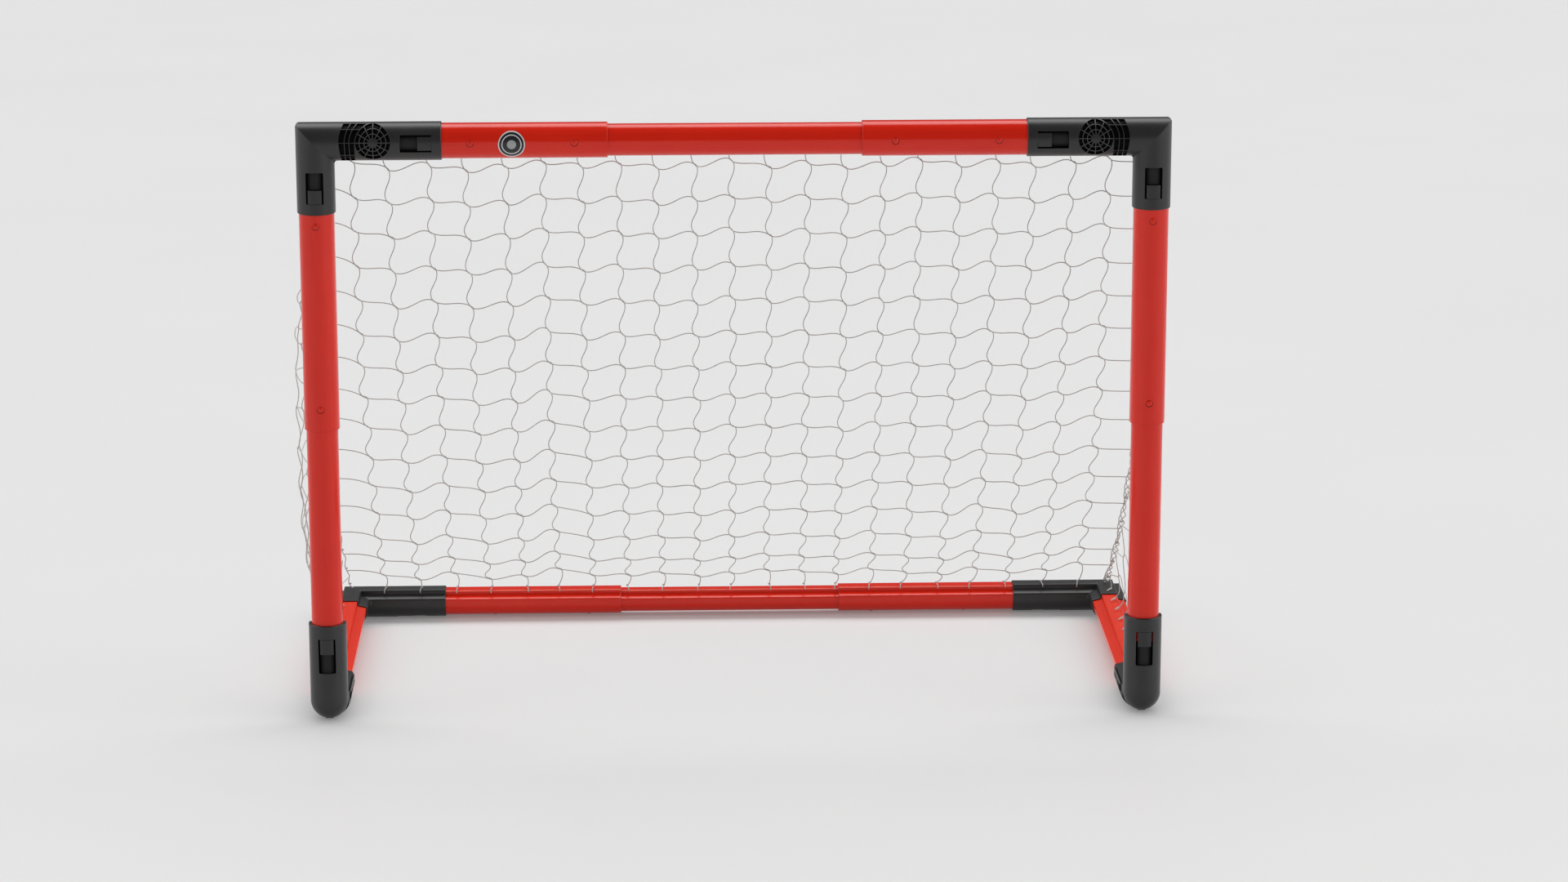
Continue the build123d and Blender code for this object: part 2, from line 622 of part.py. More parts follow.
def net_back(x_start, x_end, lift):
    """Curved sheet from the top bar down to the rear bar, lifted along its normal."""
    points = [Vector(y, z) for y, z in NET_FALL]
    under, over = [], []
    for i, point in enumerate(points):
        before, after = points[max(i - 1, 0)], points[min(i + 1, len(points) - 1)]
        tangent = (after - before).normalized()
        normal = Vector(-tangent.Y, tangent.X)
        under.append(point + normal * lift)
        over.append(point + normal * (lift + NET_T))
    face = make_face(Curve() + [
        Spline(*[(p.X, p.Y) for p in under]),
        Line((under[-1].X, under[-1].Y), (over[-1].X, over[-1].Y)),
        Spline(*[(p.X, p.Y) for p in reversed(over)]),
        Line((over[0].X, over[0].Y), (under[0].X, under[0].Y)),
    ])
    return extrude(net_plane(x_start) * face, x_end - x_start)


def net_side():
    """Flat sheet between the post, the side rail and the net's fold line."""
    front = NET_FALL[0][0]
    fall = [(y - NET_SIDE_INSET, z - NET_SIDE_INSET) for y, z in NET_FALL[1:-2]]
    fall = [(front, NET_SIDE_TOP)] + fall + [(NET_SIDE_BACK, NET_SIDE_LOW)]
    face = make_face(Curve() + [Spline(*fall)]
                     + lines(fall[-1], (front, NET_SIDE_LOW), fall[0]))
    return extrude(net_plane(-POST_X - NET_T / 2) * face, NET_T)


# ================================================================ export
def save(name, item, flip=False):
    items = item if isinstance(item, list) else [item]
    solids = [s for it in items for s in it.solids()]
    if flip:
        solids = [s for it in solids for s in mirror(it, about=Plane.YZ).solids()]
    shape = solids[0] if len(solids) == 1 else Compound(children=solids)
    shape.label = name
    export_step(shape, f"parts/{name}.step")


# telescoping bars: arm that holds the outer tube, its free end, button and plug stations
TELESCOPES = {
    "top": ("elbow_top", -TOP_SLEEVE_END, -TOP_BUTTON, -TOP_PLUG),
    "post": ("elbow_post", POST_SLEEVE_END_Z, POST_BUTTON_Z, POST_PLUG_Z),
    "rear": ("rear_bar", -REAR_SLEEVE_END, -REAR_BUTTON, -REAR_PLUG),
}

left_pieces = {
    "elbow": elbow(),
    "foot": foot(),
    "rear_corner": rear_corner(),
    "post_tube": post_tube(),
    "side_rail": side_rail(),
    "spring_post": lock_spring(POST, POST_BUTTON_Z, -1),
    "hole_plugs_top": [hole_plug(TOP_BAR, -TOP_PLUG), hole_plug(POST, POST_PLUG_Z)],
    "hole_plug_rear": hole_plug(REAR_BAR, -REAR_PLUG),
    "net_back": net_back(-POST_X + NET_GAP, -NET_SPLIT_X, 0.0),
    "net_side": net_side(),
}
for name, (arm_name, free_end, button, plugged) in TELESCOPES.items():
    arm = ARMS[arm_name]
    left_pieces[f"{name}_sleeve"] = outer_tube(arm, free_end, button, plugged)
    left_pieces[f"button_{name}"] = lock_button(arm.bar, button)
for name, arm in ARMS.items():
    left_pieces[f"tab_{name}"] = snap_tab(arm)

for name, piece in left_pieces.items():
    save(f"{name}_left", piece)
    save(f"{name}_right", piece, flip=True)

for name, bar, half_length, button in (
    ("top", TOP_BAR, TOP_MID_HALF, TOP_BUTTON),
    ("rear", REAR_BAR, REAR_MID_HALF, REAR_BUTTON),
):
    save(f"{name}_mid_tube", mid_tube(bar, half_length, button))
    save(f"springs_{name}", [lock_spring(bar, -button, 1), lock_spring(bar, button, -1)])
save("net_back_mid", net_back(-NET_SPLIT_X + NET_GAP, NET_SPLIT_X - NET_GAP, NET_MID_LIFT))
save("round_label", round_label())
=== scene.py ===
"""A small football goal: red plastic tubes, charcoal elbows, feet and rear corners, and a twine net.

x runs across the goal, the mouth faces -y and the ground is z = 0. "Left" is -x.
The net is laid out in millimetres; materials, world and camera are in metres.
"""
import bpy
import math
import random
import numpy as np
from fnmatch import fnmatchcase
from functools import cached_property
from mathutils import Matrix, Vector


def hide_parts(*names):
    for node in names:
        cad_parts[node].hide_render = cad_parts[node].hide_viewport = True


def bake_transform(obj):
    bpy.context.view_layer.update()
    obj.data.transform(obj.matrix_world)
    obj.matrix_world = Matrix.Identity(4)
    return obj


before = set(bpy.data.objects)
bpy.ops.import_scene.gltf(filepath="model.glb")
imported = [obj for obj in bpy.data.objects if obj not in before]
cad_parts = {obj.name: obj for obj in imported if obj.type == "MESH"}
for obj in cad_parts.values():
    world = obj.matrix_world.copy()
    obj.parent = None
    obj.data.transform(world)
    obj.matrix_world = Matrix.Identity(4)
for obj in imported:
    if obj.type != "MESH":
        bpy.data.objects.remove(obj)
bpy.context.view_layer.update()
random.seed(7)

# Axes of the front frame, in mm: posts at +-POST_X, top bar at TOP_Z, ground bars at GROUND_Z
FRONT_Y, POST_X, TOP_Z, GROUND_Z = -194.5, 437.0, 626.0, 20.05
# The same in metres
FRONT, POST, TOP, GROUND = FRONT_Y / 1000, POST_X / 1000, TOP_Z / 1000, GROUND_Z / 1000


# ------------------------------------------------------------------ node helpers
class Graph:
    """Short helpers for building a node tree."""

    def __init__(self, tree):
        self.tree = tree

    def node(self, kind, **props):
        node = self.tree.nodes.new(kind)
        for key, value in props.items():
            setattr(node, key, value)
        return node

    def put(self, socket, value):
        """Link a socket to the input, or set its value."""
        if isinstance(value, bpy.types.NodeSocket):
            self.tree.links.new(value, socket)
        else:
            socket.default_value = value

    def math(self, operation, a, b=0.0):
        node = self.node("ShaderNodeMath", operation=operation)
        self.put(node.inputs[0], a)
        self.put(node.inputs[1], b)
        return node.outputs[0]

    def add(self, a, b):
        return self.math("ADD", a, b)

    def sub(self, a, b):
        return self.math("SUBTRACT", a, b)

    def mul(self, a, b):
        return self.math("MULTIPLY", a, b)

    def abs(self, a):
        return self.math("ABSOLUTE", a)

    def product(self, *factors):
        result = factors[0]
        for factor in factors[1:]:
            result = self.mul(result, factor)
        return result

    def ramp(self, value, span, to=(0.0, 1.0), **props):
        """Map the range span onto the range to, clamped."""
        node = self.node("ShaderNodeMapRange", **props)
        node.clamp = True
        for socket, number in zip(node.inputs, (value, *span, *to)):
            self.put(socket, number)
        return node.outputs[0]

    def sep(self, vector):
        node = self.node("ShaderNodeSeparateXYZ")
        self.put(node.inputs[0], vector)
        return tuple(node.outputs)


class Material(Graph):
    """A Principled material."""

    def __init__(self, name):
        self.material = bpy.data.materials.new(name)
        self.material.use_nodes = True
        super().__init__(self.material.node_tree)
        self.tree.nodes.clear()
        output = self.node("ShaderNodeOutputMaterial")
        self.shader = self.node("ShaderNodeBsdfPrincipled")
        self.put(output.inputs[0], self.shader.outputs[0])
        self.coords = self.node("ShaderNodeTexCoord").outputs

    @cached_property
    def xyz(self):
        """Object coordinates, split once per material."""
        return self.sep(self.coords["Object"])

    def noise(self, scale, detail=2.0, rough=0.5, vector=None):
        node = self.node("ShaderNodeTexNoise")
        self.put(node.inputs["Vector"], vector or self.coords["Object"])
        node.inputs["Scale"].default_value = scale
        node.inputs["Detail"].default_value = detail
        node.inputs["Roughness"].default_value = rough
        return node.outputs[0]

    def scaled(self, scale):
        node = self.node("ShaderNodeMapping")
        self.put(node.inputs["Vector"], self.coords["Object"])
        node.inputs["Scale"].default_value = scale
        return node.outputs[0]

    def mix(self, factor, a, b):
        node = self.node("ShaderNodeMix", data_type="RGBA", blend_type="MIX")
        self.put(node.inputs[0], factor)
        self.put(node.inputs[6], a)
        self.put(node.inputs[7], b)
        return node.outputs[2]

    def over(self, value, limit, soft=0.00015):
        """1 above the limit, 0 below it."""
        return self.ramp(value, span=(limit - soft, limit + soft))

    def below(self, value, limit, soft=0.00015):
        return self.ramp(value, span=(limit - soft, limit + soft), to=(1.0, 0.0))

    def within(self, value, low, high):
        """The two factors that bound a value."""
        return self.over(value, low), self.below(value, high)

    def radius(self, first, second):
        """Distance from an axis; each argument is (coordinate, axis position)."""
        a, b = self.sub(*first), self.sub(*second)
        return self.math("SQRT", self.add(self.mul(a, a), self.mul(b, b)))

    def bump(self, height, strength, distance, normal=None):
        node = self.node("ShaderNodeBump")
        node.inputs["Strength"].default_value = strength
        node.inputs["Distance"].default_value = distance
        self.put(node.inputs["Height"], height)
        if normal is not None:
            self.put(node.inputs["Normal"], normal)
        return node.outputs[0]

    def bevel(self, radius, samples=4):
        node = self.node("ShaderNodeBevel")
        node.samples = samples
        node.inputs["Radius"].default_value = radius
        return node.outputs[0]

    def finish(self, **values):
        """Set the shader's inputs and return the material."""
        for key, value in values.items():
            self.put(self.shader.inputs[key.replace("_", " ")], value)
        return self.material


# ------------------------------------------------------------------ red plastic
RED_DEEP, RED_MID = (0.64, 0.013, 0.003, 1), (0.69, 0.017, 0.004, 1)
RED_STREAK, RED_SPECK = (0.74, 0.027, 0.010, 1), (0.42, 0.010, 0.005, 1)
# the pale rail-edge colour below is a painted highlight
# the paler side-rail red below is painted light, a lit copy of the same plastic
RED_SIDE_PAINTED_LIGHT, RED_PAINTED_HIGHLIGHT = (0.88, 0.050, 0.018, 1), (1.0, 0.16, 0.11, 1)
# the near-black colour below is painted shade for the part of a tube inside a connector
RED_SHADOW, INSIDE_SHADE = (0.05, 0.002, 0.001, 1), (0.005, 0.004, 0.004, 1)


def ring_shadow(m, axis, x, z):
    """Shadowed gap round a lock button or plug on the front, deepest below it."""
    across = m.xyz[0] if axis == "x" else m.abs(m.xyz[0])
    distance = m.radius((across, x), (m.xyz[2], z))
    gap = m.product(m.over(distance, 0.0029, soft=0.0002), m.below(distance, 0.0040, soft=0.0003),
                    m.below(m.xyz[1], -0.2))
    depth = m.ramp(m.sub(m.xyz[2], z), span=(-0.002, 0.002), to=(0.9, 0.12))
    return m.mul(gap, depth)


def rail_edge_highlight(m):
    """Painted highlight along the upper front edge of the net rail; the edge lies lower and further
    back on the inner tube.
    """
    x, y, z = m.xyz
    inner_end, tube_step = 0.126, 0.0017
    step = m.mul(m.over(m.abs(x), inner_end, soft=0.00002), tube_step)
    return m.product(m.over(m.sub(z, step), 0.0287, soft=0.0003),
                     m.below(m.add(y, step), 0.1888, soft=0.0003))


def red_plastic(name, axis, inside_shade=None, rings=(), edge=0.0009, painted_light_tint=None, painted_edge_highlight=False):
    """Extruded plastic. axis: the tube's direction; the mask function marks the part inside a
    connector, painted near black as shade;
    rings: (x, z) of the buttons and plugs, each with a painted shadow ring; edge: bevel radius."""
    m = Material(name)
    stretch = [55.0, 55.0, 55.0]
    stretch["xyz".index(axis)] = 3.0
    streak = m.noise(scale=6.0, detail=3.0, rough=0.55, vector=m.scaled(stretch))
    blotch = m.noise(scale=9.0, detail=4.0, rough=0.6)
    fine = m.noise(scale=900.0)
    base = m.mix(m.ramp(blotch, span=(0.3, 0.7)), RED_DEEP, RED_MID)
    base = m.mix(m.ramp(streak, span=(0.35, 0.75), to=(0.0, 0.25)), base, RED_STREAK)
    speck = m.noise(scale=320.0, detail=3.0, rough=0.6)
    base = m.mix(m.ramp(speck, span=(0.70, 0.80), to=(0.0, 0.25)), base, RED_SPECK)
    specular = 0.37
    # painted shade: near black inside the connector, with little specular
    if inside_shade:
        mask = inside_shade(m)
        base = m.mix(mask, base, INSIDE_SHADE)
        specular = m.mul(specular, m.sub(1.0, mask))
    for x, z in rings:
        base = m.mix(ring_shadow(m, axis, x, z), base, RED_SHADOW)
    # painted light: the side rails are mixed halfway to a paler red
    if painted_light_tint:
        base = m.mix(0.5, base, painted_light_tint)
    # painted highlight on the rail's upper front edge
    if painted_edge_highlight:
        base = m.mix(rail_edge_highlight(m), base, RED_PAINTED_HIGHLIGHT)
    rough = m.add(m.ramp(streak, span=(0.2, 0.8), to=(0.13, 0.19)),
                  m.ramp(fine, span=(0.3, 0.7), to=(-0.02, 0.02)))
    normal = m.bevel(radius=edge, samples=8)
    normal = m.bump(streak, strength=0.06, distance=0.0003, normal=normal)
    normal = m.bump(fine, strength=0.03, distance=0.0001, normal=normal)
    return m.finish(Base_Color=base, Roughness=rough, Normal=normal, IOR=1.5,
                    Specular_IOR_Level=specular)


# ------------------------------------------------------------------ charcoal plastic
# the black below is painted shade, for the grille pockets and the windows' long edges
# the dark grey below is painted shade on the window floors
SHADE_BLACK, WINDOW_SHADE = (0.002, 0.002, 0.002, 1), (0.011, 0.011, 0.0115, 1)
# the rib colours below are painted highlights
ELBOW_RIB_HIGHLIGHT, FOOT_RIB_HIGHLIGHT = (0.050, 0.050, 0.052, 1), (0.085, 0.085, 0.088, 1)


def charcoal(name, masks=(), edge=0.0004):
    """Moulded plastic with a fine texture. masks: (mask function, colour, specular level)."""
    m = Material(name)
    grain = m.noise(scale=1500.0, detail=3.0, rough=0.6)
    cloud = m.noise(scale=14.0, detail=4.0, rough=0.6)
    wear = m.noise(scale=60.0, detail=5.0, rough=0.65)
    base = m.mix(m.ramp(cloud, span=(0.3, 0.7)),
                 (0.017, 0.017, 0.0175, 1), (0.023, 0.023, 0.024, 1))
    base = m.mix(m.ramp(wear, span=(0.62, 0.75), to=(0.0, 0.25)), base, (0.045, 0.045, 0.047, 1))
    rough = m.add(m.ramp(cloud, span=(0.3, 0.7), to=(0.32, 0.38)),
                  m.ramp(grain, span=(0.3, 0.7), to=(-0.03, 0.03)))
    specular = 0.42
    for mask_of, colour, gloss in masks:
        mask = mask_of(m)
        matt = 0.62 if gloss < 0.3 else 0.3
        base = m.mix(mask, base, colour)
        rough = m.math("MAXIMUM", rough, m.mul(mask, matt))
        specular = m.add(m.mul(specular, m.sub(1.0, mask)), m.mul(mask, gloss))
    normal = m.bevel(radius=edge, samples=6)
    normal = m.bump(grain, strength=0.10, distance=0.00010, normal=normal)
    normal = m.bump(wear, strength=0.04, distance=0.0004, normal=normal)
    return m.finish(Base_Color=base, Roughness=rough, Normal=normal, IOR=1.5,
                    Specular_IOR_Level=specular)


# Elbow grille: a half ring of pockets, then bands running outwards; painted shade on the pocket
# floors, painted highlights on the ribs
GRILLE_X, GRILLE_Z = 0.3757, TOP + 0.0014       # centre of the ring
GRILLE_INNER_X, GRILLE_OUTER_X = 0.3555, 0.4125
GRILLE_RING = 0.0186                            # radius of the ring
ELBOW_FLOOR = 0.0197                            # pocket floors lie nearer the bar's axis than this
RIB_RING_IN, RIB_RING_OUT = 0.0052, 0.0178      # radii between which the ribs get a painted highlight


def elbow_pocket_shade(m):
    """Pocket floors on the front of the elbow, painted black as shade."""
    x, y, z = m.xyz
    bar_distance = m.radius((y, FRONT), (z, TOP))
    side = m.abs(x)
    distance = m.radius((side, GRILLE_X), (z, GRILLE_Z))
    ring = m.product(m.below(distance, GRILLE_RING), *m.within(side, GRILLE_INNER_X, GRILLE_X))
    bands = m.product(*m.within(side, GRILLE_X, GRILLE_OUTER_X))
    zone = m.mul(m.math("MAXIMUM", ring, bands), m.below(y, FRONT - 0.0005))
    return m.mul(m.below(bar_distance, ELBOW_FLOOR), zone)


def elbow_rib_highlight(m):
    """Painted highlight on the thin ribs between the elbow's pockets."""
    x, y, z = m.xyz
    bar_distance = m.radius((y, FRONT), (z, TOP))
    distance = m.radius((m.abs(x), GRILLE_X), (z, GRILLE_Z))
    ring = m.mul(m.below(distance, RIB_RING_OUT), m.over(distance, RIB_RING_IN))
    return m.mul(m.over(bar_distance, ELBOW_FLOOR), ring)


# Foot grille: a patch on the inner side of the ground tube; painted shade on the pocket floors,
# painted highlights on the ribs
FOOT_GRILLE_X = POST - 0.010                    # the patch is nearer the middle than this
FOOT_GRILLE_Y, FOOT_GRILLE_Z = (-0.1812, -0.1258), (0.0019, 0.0256)
FOOT_FLOOR_IN, FOOT_FLOOR_OUT, FOOT_RIB_IN = 0.0201, 0.0219, 0.0221     # radii from the tube's axis


def foot_patch(m):
    _, y, z = m.xyz
    low, high = FOOT_GRILLE_Z
    return *m.within(y, *FOOT_GRILLE_Y), m.below(z, high), m.over(z, low)


def foot_pocket_shade(m):
    """Pocket floors on the foot, painted black as shade."""
    side = m.abs(m.xyz[0])
    distance = m.radius((side, POST), (m.xyz[2], GROUND))
    return m.product(m.below(distance, FOOT_FLOOR_OUT), m.below(side, FOOT_GRILLE_X),
                     m.over(distance, FOOT_FLOOR_IN), *foot_patch(m))


def foot_rib_highlight(m):
    """Painted highlight on the ribs between the foot's pockets."""
    side = m.abs(m.xyz[0])
    distance = m.radius((side, POST), (m.xyz[2], GROUND))
    return m.product(m.over(distance, FOOT_RIB_IN), m.below(side, FOOT_GRILLE_X), *foot_patch(m))


# Windows beside the snap tabs, their floors darkened with painted shade
WINDOW_RADIUS, WINDOW_Y = 0.0175, FRONT - 0.009     # the floor is inside this radius, in front of y
WINDOW_EDGE = (0.0030, 0.0078)                      # offset over which the painted shade on the floor deepens
BAR_WINDOW_X = (0.3150, 0.3500)
ELBOW_WINDOW_Z, FOOT_WINDOW_Z = (0.5620, 0.5975), (0.0520, 0.0920)


def window(m, along, extent, across, axis_distance, edges):
    """Mask of the painted shade on the floor of a window, or only on its long edges; across is
    (coordinate, tube axis).
    """
    zone = m.product(*m.within(along, *extent), m.below(axis_distance, WINDOW_RADIUS),
                     m.below(m.xyz[1], WINDOW_Y))
    if not edges:
        return zone
    return m.mul(zone, m.ramp(m.abs(m.sub(*across)), span=WINDOW_EDGE))


def post_window(m, side, extent, edges):
    _, y, z = m.xyz
    post_distance = m.radius((side, POST), (y, FRONT))
    return window(m, z, extent, (side, POST), post_distance, edges)


def elbow_window_shade(m, edges=False):
    x, y, z = m.xyz
    side = m.abs(x)
    bar_distance = m.radius((y, FRONT), (z, TOP))
    bar = window(m, side, BAR_WINDOW_X, (z, TOP), bar_distance, edges)
    return m.math("MAXIMUM", bar, post_window(m, side, ELBOW_WINDOW_Z, edges))


def foot_window_shade(m, edges=False):
    return post_window(m, m.abs(m.xyz[0]), FOOT_WINDOW_Z, edges)


# ------------------------------------------------------------------ other materials
def spring_steel(name):
    m = Material(name)
    streak = m.noise(scale=30.0, detail=4.0, rough=0.6, vector=m.scaled((8, 60, 60)))
    base = m.mix(m.ramp(streak, span=(0.3, 0.7)), (0.42, 0.42, 0.43, 1), (0.58, 0.58, 0.6, 1))
    normal = m.bump(streak, strength=0.1, distance=0.0001, normal=m.bevel(radius=0.0001))
    return m.finish(Base_Color=base, Roughness=m.ramp(streak, span=(0.2, 0.8), to=(0.22, 0.4)),
                    Metallic=1.0, Normal=normal)


def label_film(name):
    """Plain dark disc with a light rim, a light ring and a grey dot."""
    centre_x, centre_z = -0.232, 0.6245
    rim_radius, ring_radii, dot_radius = 0.0128, (0.0094, 0.0104), 0.0048
    dark, light, grey = (0.012, 0.012, 0.014, 1), (0.62, 0.62, 0.63, 1), (0.32, 0.33, 0.34, 1)
    m = Material(name)
    distance = m.radius((m.xyz[0], centre_x), (m.xyz[2], centre_z))
    base = m.mix(m.over(distance, rim_radius), dark, light)
    base = m.mix(m.product(*m.within(distance, *ring_radii)), base, light)
    base = m.mix(m.below(distance, dot_radius), base, grey)
    scuff = m.noise(scale=120.0, detail=4.0, rough=0.6)
    base = m.mix(m.ramp(scuff, span=(0.6, 0.8), to=(0.0, 0.2)), base, (0.2, 0.2, 0.2, 1))
    return m.finish(Base_Color=base, Roughness=m.ramp(scuff, span=(0.3, 0.7), to=(0.25, 0.4)),
                    Normal=m.bump(scuff, strength=0.03, distance=0.0001))


def twine(name):
    """Two-ply twisted twine: u runs along the strand in millimetres, v around it."""
    turns_per_mm, plies = 0.55, 2.0
    m = Material(name)
    u, v, _ = m.sep(m.coords["UV"])
    turn = m.add(m.mul(u, turns_per_mm), m.mul(v, plies))
    ply = m.abs(m.math("SINE", m.mul(turn, math.pi)))
    fibre = m.noise(scale=700.0, detail=3.0, rough=0.6)
    patch = m.noise(scale=25.0, detail=3.0, rough=0.6)
    base = m.mix(m.ramp(patch, span=(0.3, 0.7)), (0.40, 0.375, 0.35, 1), (0.50, 0.48, 0.455, 1))
    # painted shade in the grooves between the plies, pale loose fibres
    base = m.mix(m.ramp(ply, span=(0.0, 0.35), to=(0.45, 0.0)), base, (0.22, 0.20, 0.185, 1))
    base = m.mix(m.ramp(fibre, span=(0.55, 0.8), to=(0.0, 0.35)), base, (0.66, 0.64, 0.61, 1))
    height = m.add(ply, m.mul(fibre, 0.4))
    return m.finish(Base_Color=base, Roughness=0.78, Sheen_Weight=0.25, Sheen_Roughness=0.5,
                    Normal=m.bump(height, strength=0.6, distance=0.0002))


# ------------------------------------------------------------------ materials on the solids
CONNECTOR_SOFT = 0.0004     # softness of the painted shade's edge where a tube enters a connector
BUTTONS = [(side * x, TOP) for side in (-1, 1) for x in (0.167, 0.275)]
net_material = twine("net_twine_two_ply")

# node name pattern -> material; the first match counts
LOOKS = {
    # painted shade in the pockets and windows, painted highlights on the ribs
    "elbow*": charcoal("charcoal_elbow", [
        (elbow_pocket_shade, SHADE_BLACK, 0.05), (elbow_rib_highlight, ELBOW_RIB_HIGHLIGHT, 0.5), (elbow_window_shade, WINDOW_SHADE, 0.25),
        (lambda m: elbow_window_shade(m, edges=True), SHADE_BLACK, 0.05)]),
    "foot*": charcoal("charcoal_foot", [
        (foot_pocket_shade, SHADE_BLACK, 0.05), (foot_rib_highlight, FOOT_RIB_HIGHLIGHT, 0.6), (foot_window_shade, WINDOW_SHADE, 0.25),
        (lambda m: foot_window_shade(m, edges=True), SHADE_BLACK, 0.05)]),
    "tab_*": charcoal("charcoal_plain"),
    "rear_corner*": charcoal("charcoal_rear_corner", edge=0.0018),
    # tube parts inside the connectors are painted near black as shade; the right lower post is left
    # red
    "top_sleeve*": red_plastic(
        "red_top_bar", "x", rings=BUTTONS,
        inside_shade=lambda m: m.over(m.abs(m.xyz[0]), 0.3085, CONNECTOR_SOFT)),
    "top_mid_tube": red_plastic("red_top_mid", "x"),
    "post_sleeve*": red_plastic(
        "red_post_upper", "z", rings=[(POST, 0.343), (POST, 0.539)],
        inside_shade=lambda m: m.over(m.xyz[2], 0.5550, CONNECTOR_SOFT)),
    "post_tube_left": red_plastic(
        "red_post_lower_left", "z", inside_shade=lambda m: m.below(m.xyz[2], 0.1010, CONNECTOR_SOFT)),
    "post_tube_right": red_plastic("red_post_lower_right", "z"),
    # the rear bars get a painted highlight along the rail's front edge
    "rear_*": red_plastic("red_rear_bar", "x", edge=0.0020, painted_edge_highlight=True),
    # the side rails get a paler red as painted light
    "side_rail*": red_plastic("red_side_rail", "y", edge=0.0020, painted_light_tint=RED_SIDE_PAINTED_LIGHT),
    "spring*": spring_steel("spring_steel_leaf"),
    "round_label*": label_film("label_disc"),
    "net_*": net_material,
    "*": red_plastic("red_small", "y"),
}

for name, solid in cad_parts.items():
    solid.data.materials.clear()
    solid.data.materials.append(
        next(look for pattern, look in LOOKS.items() if fnmatchcase(name, pattern)))

# ------------------------------------------------------------------ the net's shape (mm from here)
# fall of the back panel: (distance behind the posts' axis, height)
FALL = [(13.5, 626.0), (26, 593), (42, 552), (59, 511), (75, 470), (92, 430), (109, 389),
        (128, 350), (150, 311), (171, 273), (194, 236), (220, 200), (247, 165), (274, 130),
        (304, 98), (336, 68), (368, 43), (386.5, 34.2)]
RAIL_Z = 34.0               # height of the net's lower edge
BOW, BOW_HEIGHT = 9.0, 560.0    # outward bow of the fold lines, and the height it spans
BOW_START_X = 380.0         # the back panel shares the bow from here out to the fold


def clamp(value):
    return min(max(value, 0.0), 1.0)


def catmull(points, steps=12):
    """Catmull-Rom curve through the points."""
    p = [np.array(q, float) for q in points]
    p = [2 * p[0] - p[1]] + p + [2 * p[-1] - p[-2]]
    curve = []
    for i in range(1, len(p) - 2):
        for k in range(steps):
            t = k / steps
            curve.append(0.5 * (2 * p[i] + (p[i + 1] - p[i - 1]) * t
                                + (2 * p[i - 1] - 5 * p[i] + 4 * p[i + 1] - p[i + 2]) * t * t
                                + (3 * p[i] - p[i - 1] - 3 * p[i + 1] + p[i + 2]) * t ** 3))
    curve.append(p[-2])
    return np.array(curve)


def hermite(start, end, start_dir, end_dir, steps, pulls=(1.0, 1.0)):
    """Points of a curve; its end tangents are the directions times the pulls."""
    p0, p1, m0, m1 = (np.asarray(q, float) for q in (start, end, start_dir, end_dir))
    t = np.linspace(0, 1, steps)[:, None]
    return ((2 * t**3 - 3 * t**2 + 1) * p0 + (t**3 - 2 * t**2 + t) * (m0 * pulls[0])
            + (-2 * t**3 + 3 * t**2) * p1 + (t**3 - t**2) * (m1 * pulls[1]))


def arc_lengths(points):
    steps = np.linalg.norm(np.diff(points, axis=0), axis=1)
    return np.concatenate([[0], np.cumsum(steps)])


CURVE = catmull(FALL)
ARC = arc_lengths(CURVE)
S_END = float(ARC[-1])


def fall(s):
    """(y, z) of the back panel at arc length s below the top bar."""
    return float(np.interp(s, ARC, CURVE[:, 0])) + FRONT_Y, float(np.interp(s, ARC, CURVE[:, 1]))


def fold_y(z):
    """Distance of the fold between back and side panels behind the posts' axis."""
    return float(np.interp(z, CURVE[::-1, 1], CURVE[::-1, 0]))


def fold_out(z):
    """How far the fold line bows outwards at a height."""
    return BOW * math.sin(math.pi * clamp((z - RAIL_Z) / BOW_HEIGHT))


def jitter(i, j, series):
    """Repeatable offset in -1..1; each series is independent."""
    v = math.sin(i * 12.9898 + j * 78.233 + series * 37.719) * 43758.5453
    return (v - math.floor(v)) * 2 - 1


def back_point(x, s):
    """Place on the back panel."""
    y, z = fall(s)
    share = clamp((abs(x) - BOW_START_X) / (POST_X - BOW_START_X))
    return np.array([x + math.copysign(fold_out(z) * share, x), y, z])


# ------------------------------------------------------------------ strands
STRAND, JOIN = 0.56, 0.74   # radii of a strand, and of a crossing on the side panels
KNOT_CORD = 0.5             # radius of the cord in a knot
SIDES = 6                   # facets round a strand
MIN_STEP = 0.05             # closer points are dropped


